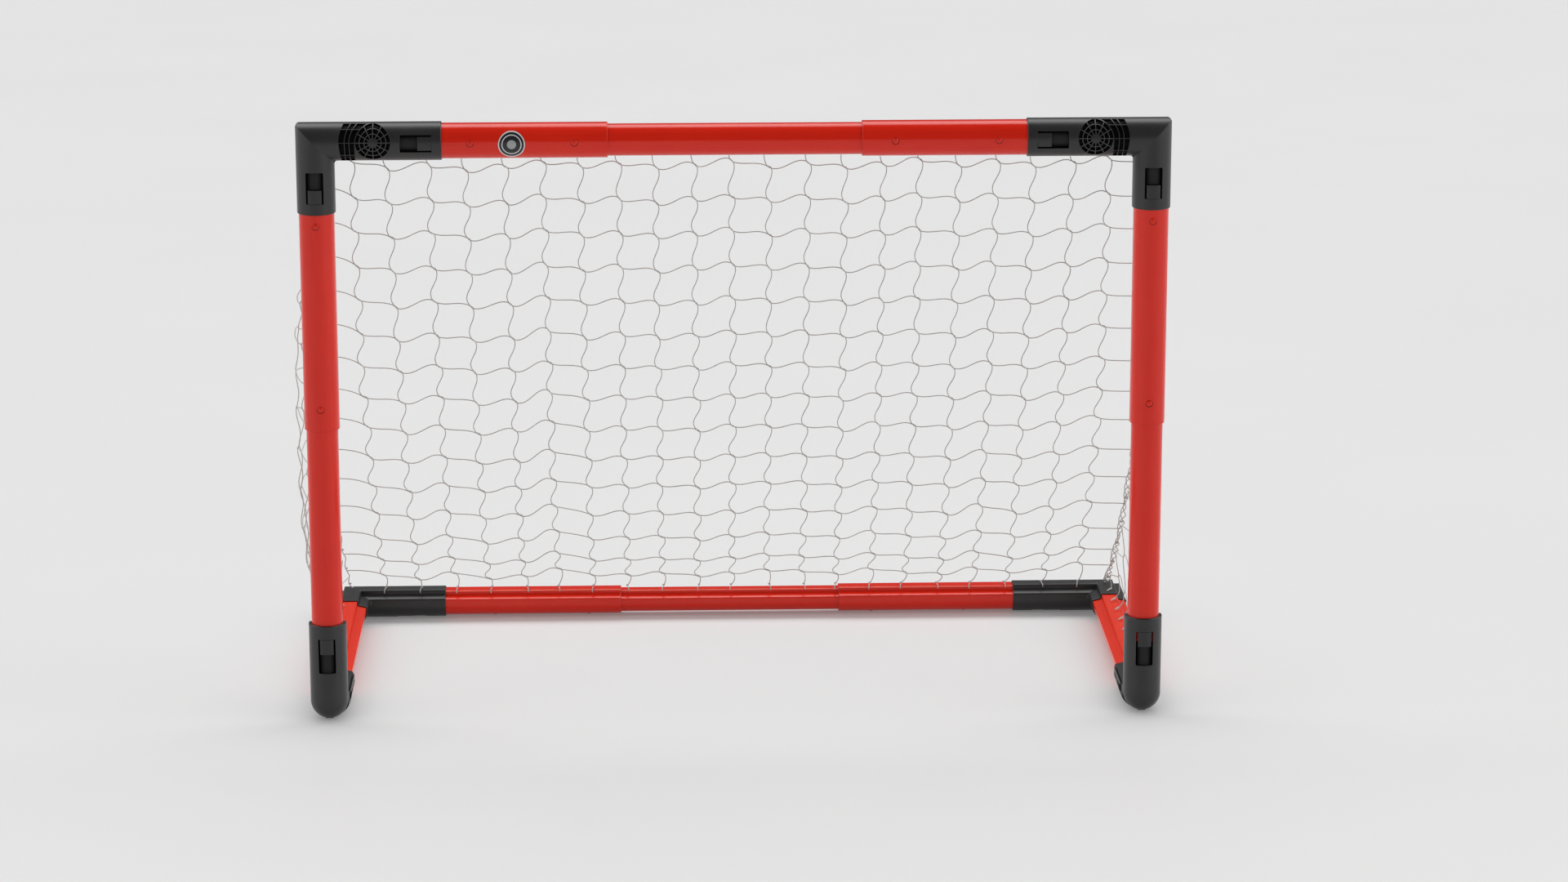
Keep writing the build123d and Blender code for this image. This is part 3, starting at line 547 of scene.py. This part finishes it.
class Net:
    """Strands of one piece, turned into one mesh of closed tubes."""

    def __init__(self):
        self.vertices, self.faces, self.uvs = [], [], []
        self.count = 0

    def strand(self, points, radius, end_radius=None):
        points = np.asarray(points, float)
        keep = [0]
        for i in range(1, len(points)):
            if np.linalg.norm(points[i] - points[keep[-1]]) > MIN_STEP:
                keep.append(i)
        points = points[keep]
        n = len(points)
        if n < 2:
            return
        end_radius = radius if end_radius is None else end_radius
        tangents = np.gradient(points, axis=0)
        tangents /= np.linalg.norm(tangents, axis=1)[:, None]
        upright = abs(tangents[0][2]) >= 0.9
        across = np.cross(tangents[0], (1.0, 0, 0) if upright else (0, 0, 1.0))
        across /= np.linalg.norm(across)
        angles = np.arange(SIDES)[:, None] * 2 * math.pi / SIDES
        for i in range(n):
            if i:
                # carry the ring's direction along without twist
                across = across - tangents[i] * np.dot(across, tangents[i])
                across /= np.linalg.norm(across)
            other = np.cross(tangents[i], across)
            r = radius + (end_radius - radius) * i / (n - 1)
            self.vertices.append(
                points[i] + r * (np.cos(angles) * across + np.sin(angles) * other))
        first = self.count
        last = first + (n - 1) * SIDES
        self.count += n * SIDES
        lengths = arc_lengths(points)
        for i in range(n - 1):
            p = first + i * SIDES
            q = p + SIDES
            u0, u1 = lengths[i], lengths[i + 1]
            for k in range(SIDES):
                k2 = (k + 1) % SIDES
                v0, v1 = k / SIDES, (k + 1) / SIDES
                self.faces.append((p + k, p + k2, q + k2, q + k))
                self.uvs += [(u0, v0), (u0, v1), (u1, v1), (u1, v0)]
        # pointed ends
        for i, ring, r, sign in ((0, first, radius, -1), (n - 1, last, end_radius, 1)):
            self.vertices.append((points[i] + sign * tangents[i] * r * 0.7)[None, :])
            u = lengths[i]
            for k in range(SIDES):
                a, b = ring + k, ring + (k + 1) % SIDES
                self.faces.append((a, b, self.count) if sign > 0 else (b, a, self.count))
                self.uvs += [(u, k / SIDES), (u, (k + 1) / SIDES), (u + 0.4, (k + 0.5) / SIDES)]
            self.count += 1

    def knot(self, centre, r):
        """Small overhand knot: a strand wound on itself."""
        t = np.linspace(0, 2 * math.pi, 19)
        points = np.stack([r * (np.sin(t) + 2 * np.sin(2 * t)) * 0.36,
                           r * (np.cos(t) - 2 * np.cos(2 * t)) * 0.36,
                           -r * np.sin(3 * t) * 0.45], 1)
        self.strand(centre + points, KNOT_CORD)

    def tail(self, tip, start, end, start_dir, end_dir, radius=0.55, end_radius=0.5):
        """Loose end; start and end are offsets from the tip."""
        points = hermite(tip + np.array(start), tip + np.array(end), start_dir, end_dir, steps=6)
        self.strand(points, radius, end_radius)

    def mesh(self, name, bodies, stands_for):
        mesh = bpy.data.meshes.new(name)
        mesh.from_pydata((np.concatenate(self.vertices) / 1000.0).tolist(), [], self.faces)
        layer = mesh.uv_layers.new(name="along")
        layer.data.foreach_set("uv", np.array(self.uvs, np.float32).ravel())
        mesh.polygons.foreach_set("use_smooth", [True] * len(mesh.polygons))
        mesh.materials.append(net_material)
        mesh.update()
        piece = bpy.data.objects.new(name, mesh)
        bpy.context.scene.collection.objects.link(piece)
        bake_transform(piece)
        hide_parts(*stands_for)


nets = {"left": Net(), "mid": Net(), "right": Net()}
SEAM_X = 145                # the middle piece reaches this far to each side


def back_net(x):
    return nets["left"] if x < -SEAM_X else nets["right"] if x > SEAM_X else nets["mid"]


# ------------------------------------------------------------------ back panel
# In panel coordinates (x, s), s being the arc length down from the top bar.
# sideways offset of each column
COL_DEV = [0.0, -3.6, 0.3, -1.6, 0.7, 0.4, -0.4, 0.5, -0.8, 0.9, 0.1, -1.0, 0.6, -0.2, 0.9, -0.7,
           0.3, 1.0, -0.6, 1.2, 0.4]
# downward offset of each column
COL_OFF = [-1.0, 6.8, 3.0, 9.3, 7.0, 0.0, 7.0, 3.4, 8.6, 5.0, 0.8, 7.4, 3.2, 9.0, 6.0, 1.0, 7.2,
           3.8, 8.8, 4.4, 0.0]
# s of each row
ROW_S = [28.9, 72.2, 115.5, 158.6, 202.4, 246.0, 290.0, 334.9, 379.8, 426.2, 474.8, 524.0, 571.5,
         619.5, 659.0]
COLS, ROWS = range(len(COL_DEV)), len(ROW_S)
TOP_START, TOP_PITCH = -399.8, 39.75    # columns at the top bar
END_START, END_PITCH = -396.0, 39.9     # columns at the rear rail
CROSS_HALF = 1.9            # half a crossing's width and height
LIFT = 0.5                  # half the distance between crossing strands
S_LAST = S_END - 9.0        # no crossings beyond this


def column_x(col, s):
    t = s / S_END
    return ((TOP_START + TOP_PITCH * col + COL_DEV[col]) * (1 - t)
            + (END_START + END_PITCH * col + 0.5 * COL_DEV[col]) * t)


def crossing(col, row):
    """Upper left and lower right ends of the stretch where two strands run together."""
    t = row / (ROWS - 1.0)
    drift = (8.0 * math.sin(col * 2.1 + 0.5) + 4.0 * math.sin(col * 0.9)) * t ** 1.5
    s = ROW_S[row] + COL_OFF[col] + drift + 0.9 * jitter(col, row, 1)
    x = column_x(col, s) + 0.8 * jitter(col, row, 2)
    steep = 1.0 + 0.22 * jitter(col, row, 3)
    half_x, half_s = CROSS_HALF / steep, CROSS_HALF * steep
    return (x - half_x, s - half_s), (x + half_x, s + half_s)


def unit(a, b):
    return np.array([a, b]) / math.hypot(a, b)


# directions of the strands at the upper and lower ends of a crossing
DOWN_UPPER, DOWN_LOWER = unit(0.50, 0.86), unit(0.26, 1.0)
ACROSS_UPPER, ACROSS_LOWER = unit(0.88, 0.50), unit(1.0, 0.32)


def stretch_of(start, end, start_dir, end_dir, pull, steps, lifts):
    """One stretch of a strand as (x, s, lift off the panel)."""
    reach = math.dist(start, end) * pull
    flat = hermite(start, end, start_dir, end_dir, steps, pulls=(reach, reach))
    return [(x, s, lift) for (x, s), lift in zip(flat, np.linspace(*lifts, steps))]


def panel_normal(s):
    (y0, z0), (y1, z1) = fall(max(s - 3.0, 0.0)), fall(min(s + 3.0, S_END))
    normal = np.array([0.0, z0 - z1, y1 - y0])
    return normal / np.linalg.norm(normal)


def lay_back(net, points):
    net.strand([back_point(x, s) + panel_normal(s) * lift for x, s, lift in points], STRAND)


def lift_of(col, row):
    """Lift of the downward strand; the crosswise one has the opposite."""
    return LIFT if (col + row) % 2 else -LIFT


joins = {}
for col in COLS:
    for row in range(ROWS):
        upper, lower = crossing(col, row)
        if lower[1] < S_LAST:
            joins[col, row] = (upper, lower)


def rail_start(col):
    """Where a column starts on the top bar."""
    return joins[col, 0][0][0] - 1.2 + 1.5 * jitter(col, 0, 4), 0.0


# path of a loose end over the rear rail and down its front side: (sideways, y, z) from the knot
RAIL_TAIL = [(0, 0, 0.4), (0.5, -2.2, -0.1), (0.9, -4.8, -0.4), (1.2, -7.0, -0.5),
             (1.4, -8.2, -1.2), (1.5, -8.4, -2.4)]


def lay_column(col):
    """A strand from the top bar through every crossing to the rear rail."""
    rows = [row for row in range(ROWS) if (col, row) in joins]
    points = stretch_of(rail_start(col), joins[col, 0][0], (0.1, 1.0), DOWN_UPPER,
                        pull=0.9, steps=8, lifts=(0.0, lift_of(col, 0)))
    for row in rows:
        upper, lower = joins[col, row]
        lift = lift_of(col, row)
        points += stretch_of(upper, lower, DOWN_UPPER, DOWN_LOWER,
                             pull=1.15, steps=4, lifts=(lift, lift))[1:]
        if row + 1 in rows:
            points += stretch_of(lower, joins[col, row + 1][0], DOWN_LOWER, DOWN_UPPER,
                                 pull=1.22 + 0.10 * jitter(col, row, 5), steps=14,
                                 lifts=(lift, lift_of(col, row + 1)))[1:]
    end = (lower[0] - 1.5 + 3.0 * jitter(col, row, 7), S_END)
    points += stretch_of(lower, end, DOWN_LOWER, (0.05 * jitter(col, row, 6), 1.0),
                         pull=0.9, steps=9, lifts=(lift, 0.6))[1:]
    net = back_net(lower[0])
    lay_back(net, points)
    tip = back_point(*end)
    net.knot(tip + np.array([0, 0, 0.6]), 1.15)
    side = 1 if jitter(col, row, 8) > 0 else -1
    drop = 3.6 + 1.6 * abs(jitter(col, row, 9))
    tail = [tip + np.array([side * x, y, z]) for x, y, z in RAIL_TAIL + [(1.5, -8.4, -drop)]]
    net.strand(tail, 0.62, 0.56)


def lay_row(row):
    """A strand across the panel, cut where it passes from one piece of the net to the next."""
    run, net = [], None
    for col in COLS:
        if (col, row) not in joins:
            if run:
                lay_back(net, run)
            run, net = [], None
            continue
        upper, lower = joins[col, row]
        here = back_net((upper[0] + lower[0]) / 2)
        if net is not None and here is not net:
            lay_back(net, run)
            run = []
        net = here
        lift = -lift_of(col, row)
        link = stretch_of(upper, lower, ACROSS_UPPER, ACROSS_LOWER,
                          pull=1.15, steps=4, lifts=(lift, lift))
        run += link[1:] if run else link
        if (col + 1, row) in joins:
            run += stretch_of(lower, joins[col + 1, row][0], ACROSS_LOWER, ACROSS_UPPER,
                              pull=1.12 + 0.10 * jitter(col, row, 10), steps=14,
                              lifts=(lift, -lift_of(col + 1, row)))[1:]
        elif col + 1 in COLS:
            # out onto the rear rail
            end = (lower[0] + 26.0 + 5.0 * jitter(col, row, 12), S_END)
            run += stretch_of(lower, end, ACROSS_LOWER, (0.75, 0.65),
                              pull=0.8, steps=9, lifts=(lift, 0.6))[1:]
            net.knot(back_point(*end) + np.array([0, 0, 1.0]), 1.2)
    if run:
        lay_back(net, run)


for col in COLS:
    lay_column(col)
for row in range(ROWS):
    lay_row(row)
# a knot and a short tail where each column starts
for col in COLS:
    start = rail_start(col)
    tip = back_point(*start)
    net = back_net(start[0])
    net.knot(tip + np.array([0, 0.9, -0.5]), 1.3)
    net.tail(tip, (0, 1, 0), (4.0, 5.0, -7.0), (2, 4, 2), (1, 2, -7))

# ------------------------------------------------------------------ side panels
# In panel coordinates (y, z), y being the distance behind the posts' axis.
# outward bulge of the panels: (height, bulge)
BELLY = np.array([(34, 0.0), (60, 10.0), (90, 19.0), (120, 25.0), (168, 29.5), (237, 29.5),
                  (300, 28.0), (360, 26.5), (400, 26.5), (450, 22.0), (500, 14.5), (560, 6.5),
                  (606, 0.0)])
SIDE_COLS = [34.0 + 40.0 * j for j in range(9)]
SIDE_ROWS = [588.0 - 44.0 * i for i in range(13)]
SIDE_DROPS = (7.4, 0.0, 12.0)       # drops of successive columns
POST_TIE_Y = 13.6                   # where the rows meet the post
SIDE_END_Z = 33.8                   # where the columns meet the rail
# directions of the strands at the upper and lower ends of a crossing
SIDE_DOWN_UPPER, SIDE_DOWN_LOWER = (0.42, -0.91), (0.16, -0.99)
SIDE_BACK_UPPER, SIDE_BACK_LOWER = (0.9, -0.44), (0.98, -0.2)


def side_x(side, y, z):
    a = clamp((y - 14.0) / (max(fold_y(z), 20.0) - 14.0))   # 0 at the post, 1 at the fold
    out = float(np.interp(z, BELLY[:, 0], BELLY[:, 1])) * (1.0 if side < 0 else 0.72)
    out *= 1.0 + 0.06 * math.sin(z * 2 * math.pi / 44.0)
    belly = out * (math.sin(math.pi * min(a * 0.92 + 0.04, 1.0)) ** 0.9)
    return side * (POST_X + belly + fold_out(z) * a * (1.0 if side < 0 else 0.6))


def side_point(side, y, z):
    """Place on a side panel; near the rail it is drawn outwards, on the left right down to it."""
    low, reach, out = (20.0, 10.0, 6.0) if side < 0 else (28.0, 13.0, 8.0)
    tied = clamp((90.0 - z) / 50.0) * clamp((z - low) / reach) * clamp((fold_y(z) - y) / 40.0)
    return np.array([side_x(side, y, z) + side * out * tied, y + FRONT_Y, z])


def side_crossings(side):
    found = {}
    for j, y0 in enumerate(SIDE_COLS):
        for i, z0 in enumerate(SIDE_ROWS):
            z = z0 - SIDE_DROPS[j % 3] + 1.2 * jitter(j, i, 11 + side)
            y = y0 + 1.2 * jitter(j, i, 13 + side)
            if y < fold_y(z) - 7.0 and z > 44.0:
                found[j, i] = ((y - CROSS_HALF, z + CROSS_HALF), (y + CROSS_HALF, z - CROSS_HALF))
    return found


def build_side(side, net):
    found = side_crossings(side)

    def lay(start, end, start_dir, end_dir, steps, pulls=(1.0, 1.0), radius=STRAND):
        flat = hermite(start, end, start_dir, end_dir, steps, pulls)
        net.strand([side_point(side, *q) for q in flat], radius)

    for (j, i), (upper, lower) in found.items():
        lay(upper, lower, (3.8, -3.8), (3.8, -3.8), steps=4, radius=JOIN)
        if (j, i + 1) in found:
            below = found[j, i + 1][0]
            d = lower[1] - below[1]
            lay(lower, below, SIDE_DOWN_LOWER, SIDE_DOWN_UPPER, 11, pulls=(d * 0.95, d * 0.95))
        else:
            # down to the rail
            end = (lower[0] - 2.0, SIDE_END_Z)
            d = max(lower[1] - SIDE_END_Z, 3.0)
            lay(lower, end, SIDE_DOWN_LOWER, (0, -1.0), 8, pulls=(d * 0.9, d * 0.6))
            tip = side_point(side, *end)
            net.knot(tip + np.array([0, 0, 0.4]), 1.1)
            if side < 0:
                net.tail(tip, (0, 0, 0.8), (-5.0, 4.0, 0.8), (-2.0, 0, 5.0), (-5.0, 3.0, -3.0))
            elif tip[1] < 178.0:
                # a thick short end, slanting in over the rail's top
                net.tail(tip, (1.5, 1.0, 0.9), (-4.5, -6.0, -0.1), (-4.0, -3.0, 0.6),
                         (-4.0, -5.0, -0.8), radius=0.95, end_radius=0.75)
        if (j + 1, i) in found:
            behind = found[j + 1, i][0]
            d = behind[0] - lower[0]
            lay(lower, behind, SIDE_BACK_LOWER, SIDE_BACK_UPPER, 11, pulls=(d * 0.9, d * 0.9))
        else:
            # back to the fold line
            z = lower[1] - 2.0
            y = fold_y(z)
            d = max(y - lower[0], 3.0)
            lay(lower, (y, z), SIDE_BACK_LOWER, (1.0, 0.1), 8, pulls=(d * 0.7, d * 0.6))
        if (j, i - 1) not in found:
            # up to the fold line
            y = upper[0] + 2.0
            z = float(np.interp(y, CURVE[:, 0], CURVE[:, 1]))
            d = max(z - upper[1], 3.0)
            lay((y, z), upper, (-0.2, -1.0), SIDE_DOWN_UPPER, 8, pulls=(d * 0.6, d * 0.6))
        if j == 0:
            # forward to the post
            z = upper[1] + 4.0
            d = max(upper[0] - POST_TIE_Y, 4.0)
            lay((POST_TIE_Y, z), upper, (1.0, 0.0), SIDE_BACK_UPPER, 7, pulls=(d * 0.8, d * 0.8))
            net.knot(side_point(side, 14.3, z), 1.4)


# ------------------------------------------------------------------ fold lines
def join_fold(side, net):
    """The back panel's rows, carried on to the fold line."""
    col = COLS[0] if side < 0 else COLS[-1]
    for row in range(ROWS):
        if (col, row) not in joins:
            continue
        upper, lower = joins[col, row]
        if side < 0:
            # leaves the fold level and curves down into the first column
            start = (-POST_X, upper[1] - 11.0)
            d = upper[0] - start[0]
            flat = hermite(start, upper, (1.0, -0.12), (0.72, 0.70), 12, pulls=(d * 1.2, d * 0.95))
        else:
            end = (POST_X, lower[1] + 3.0)
            d = end[0] - lower[0]
            flat = hermite(lower, end, ACROSS_LOWER, (1.0, 0.2), 10, pulls=(d * 0.8, d * 0.8))
        net.strand([back_point(*q) for q in flat], STRAND)


def lace_fold(side, net):
    """Cords winding down the fold, one on the left and three on the right, with knots."""
    cords, looseness, knot_size = (1, 0.4, 1.1) if side < 0 else (3, 2.6, 1.8)
    pitch = 44.0
    for cord in range(cords):
        points = []
        for s in np.linspace(4.0, S_END - 2.0, 260):
            turn = 2 * math.pi * s / pitch + cord * 2 * math.pi / 3
            slack = 1.0 + looseness * abs(math.sin(math.pi * s / 66.0 + 0.4))
            points.append(back_point(side * POST_X, s) + slack * np.array(
                [math.cos(turn), math.sin(turn) * 0.8, math.sin(turn) * 0.5]))
        net.strand(points, 0.58)
    for s in np.arange(26.0, S_END - 10.0, pitch):
        net.knot(back_point(side * POST_X, s), knot_size)


for side, which in ((-1, "left"), (1, "right")):
    build_side(side, nets[which])
    join_fold(side, nets[which])
    lace_fold(side, nets[which])

for which, net in nets.items():
    panels = ["back"] if which == "mid" else ["back", "side"]
    net.mesh(f"netting_{which}", (f"base_{which}", f"top_{which}"),
             [f"net_{panel}_{which}" for panel in panels])


# ------------------------------------------------------------------ floor, light and camera
def floor_paper(name):
    m = Material(name)
    cloud = m.noise(scale=2.0, detail=3.0)
    base = m.mix(m.ramp(cloud, span=(0.3, 0.7)), (0.564, 0.564, 0.564, 1), (0.576, 0.576, 0.576, 1))
    return m.finish(Base_Color=base, Roughness=0.50, Specular_IOR_Level=0.35,
                    Emission_Color=(1.0, 1.0, 1.0, 1), Emission_Strength=0.13,
                    Normal=m.bump(m.noise(scale=400.0), strength=0.02, distance=0.0002))


def build_world():
    """A long softbox over and behind the goal, a dim room in front of it, paler sides."""
    softbox, room, front_sides, rear_sides = 3.3, 0.12, 2.0, 0.7     # strengths
    world = bpy.data.worlds.new("studio")
    bpy.context.scene.world = world
    world.use_nodes = True
    w = Graph(world.node_tree)
    x, y, z = w.sep(w.node("ShaderNodeTexCoord").outputs["Generated"])

    def step(value, *span, to=(0.0, 1.0)):
        return w.ramp(value, span, to, interpolation_type="SMOOTHSTEP")

    # degrees up from the front horizon and over to the back
    rise = w.mul(w.math("ARCTAN2", z, w.mul(y, -1.0)), 180.0 / math.pi)
    off_axis = w.abs(x)
    box = w.product(step(rise, 102.0, 109.0), step(rise, 126.0, 152.0, to=(1.0, 0.0)),
                    step(off_axis, 0.78, 0.95, to=(1.0, 0.0)))
    # big lights left and right of the camera, the right one stronger
    in_front = w.mul(step(y, -0.15, 0.25, to=(1.0, 0.0)), step(z, -0.05, 0.12))
    front = w.product(step(off_axis, 0.42, 0.72), in_front,
                      step(x, -0.1, 0.1, to=(0.84 * front_sides, 1.07 * front_sides)))
    rear = w.mul(w.sub(1.0, in_front), step(off_axis, 0.60, 0.95, to=(0.0, rear_sides)))
    around = w.math("MAXIMUM", room, w.math("MAXIMUM", front, rear))
    background = world.node_tree.nodes["Background"]
    w.put(background.inputs[1], w.add(around, w.mul(box, softbox)))
    background.inputs[0].default_value = (1.0, 1.0, 1.0, 1)


def build_camera():
    data = bpy.data.cameras.new("photo_view")
    data.lens = 100.0
    data.sensor_width = 36.0
    data.clip_end = 200.0
    camera = bpy.data.objects.new("photo_view", data)
    place = (-0.09019, -4.67872, 1.41026)
    yaw, pitch, roll = 0.0315, 0.24238, -0.00079    # radians, from looking along +y
    ahead = Vector((math.sin(yaw) * math.cos(pitch), math.cos(yaw) * math.cos(pitch),
                    -math.sin(pitch)))
    right = Vector((math.cos(yaw), -math.sin(yaw), 0.0))
    upward = right.cross(ahead)
    camera_x = right * math.cos(roll) + upward * math.sin(roll)
    camera_y = upward * math.cos(roll) - right * math.sin(roll)
    turn = Matrix((camera_x, camera_y, -ahead)).transposed().to_4x4()
    camera.matrix_world = Matrix.Translation(place) @ turn
    bpy.context.scene.collection.objects.link(camera)
    bpy.context.scene.camera = camera


bpy.ops.mesh.primitive_plane_add(size=60, location=(0, 0, -0.0002))
floor = bpy.context.object
floor.name = "floor"
floor.data.materials.append(floor_paper("floor_paper"))
build_world()
build_camera()
bpy.context.scene.view_settings.view_transform = "Standard"
bpy.context.scene.view_settings.look = "None"
